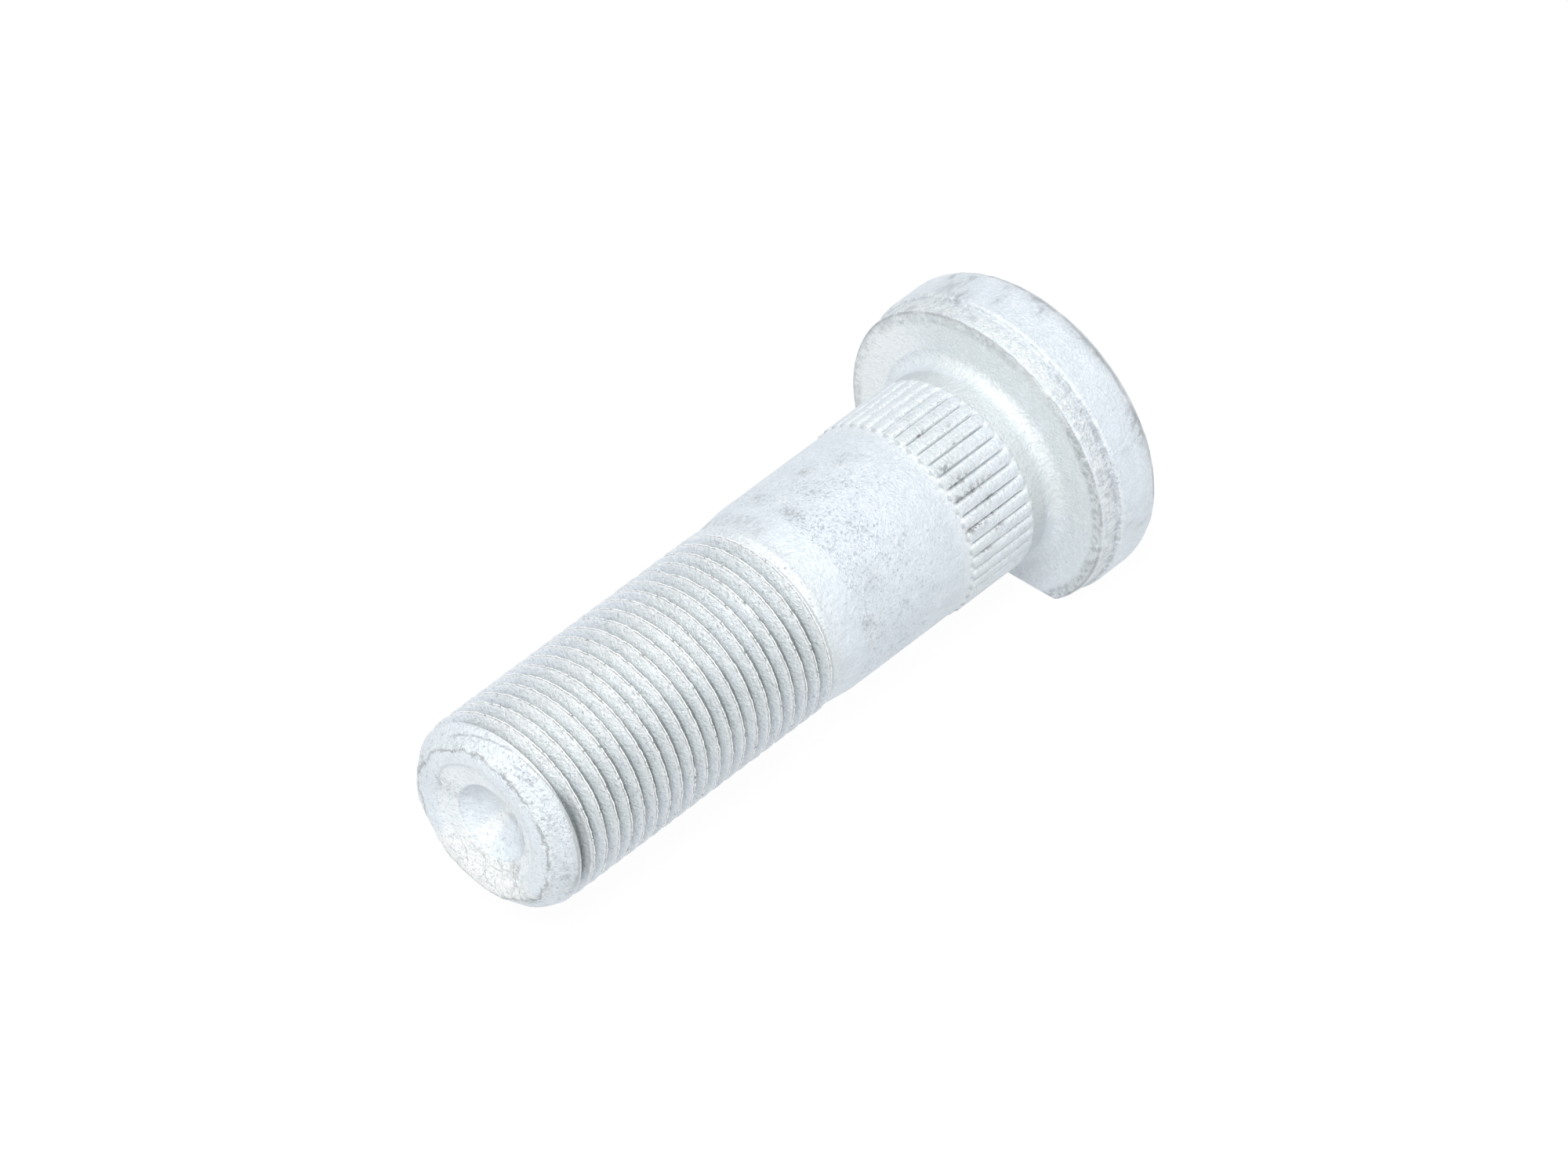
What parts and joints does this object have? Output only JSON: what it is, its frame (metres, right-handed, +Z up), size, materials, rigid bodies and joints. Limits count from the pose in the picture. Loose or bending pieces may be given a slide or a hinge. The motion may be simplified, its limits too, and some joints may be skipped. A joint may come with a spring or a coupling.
{
  "type": "wheel bolt",
  "caption": "Press-in wheel bolt: D-shaped head with one flat, filleted knurled neck, plain shank and fine right-hand thread with a dimpled end.",
  "frame": {"origin": "centre of the bearing face under the head, on the axis of the bolt", "axes": "+X along the axis from the bearing face to the threaded end, +Z up, the flat of the head faces -Z and is what the bolt lies on"},
  "size_m": [0.0676, 0.0286, 0.0253],
  "materials": {
    "zinc_coat": "thin pale grey zinc coating on steel, satin to matt, slightly rough"
  },
  "bodies": {
    "root": {"wheel_bolt": "zinc_coat"}
  },
  "joints": []
}
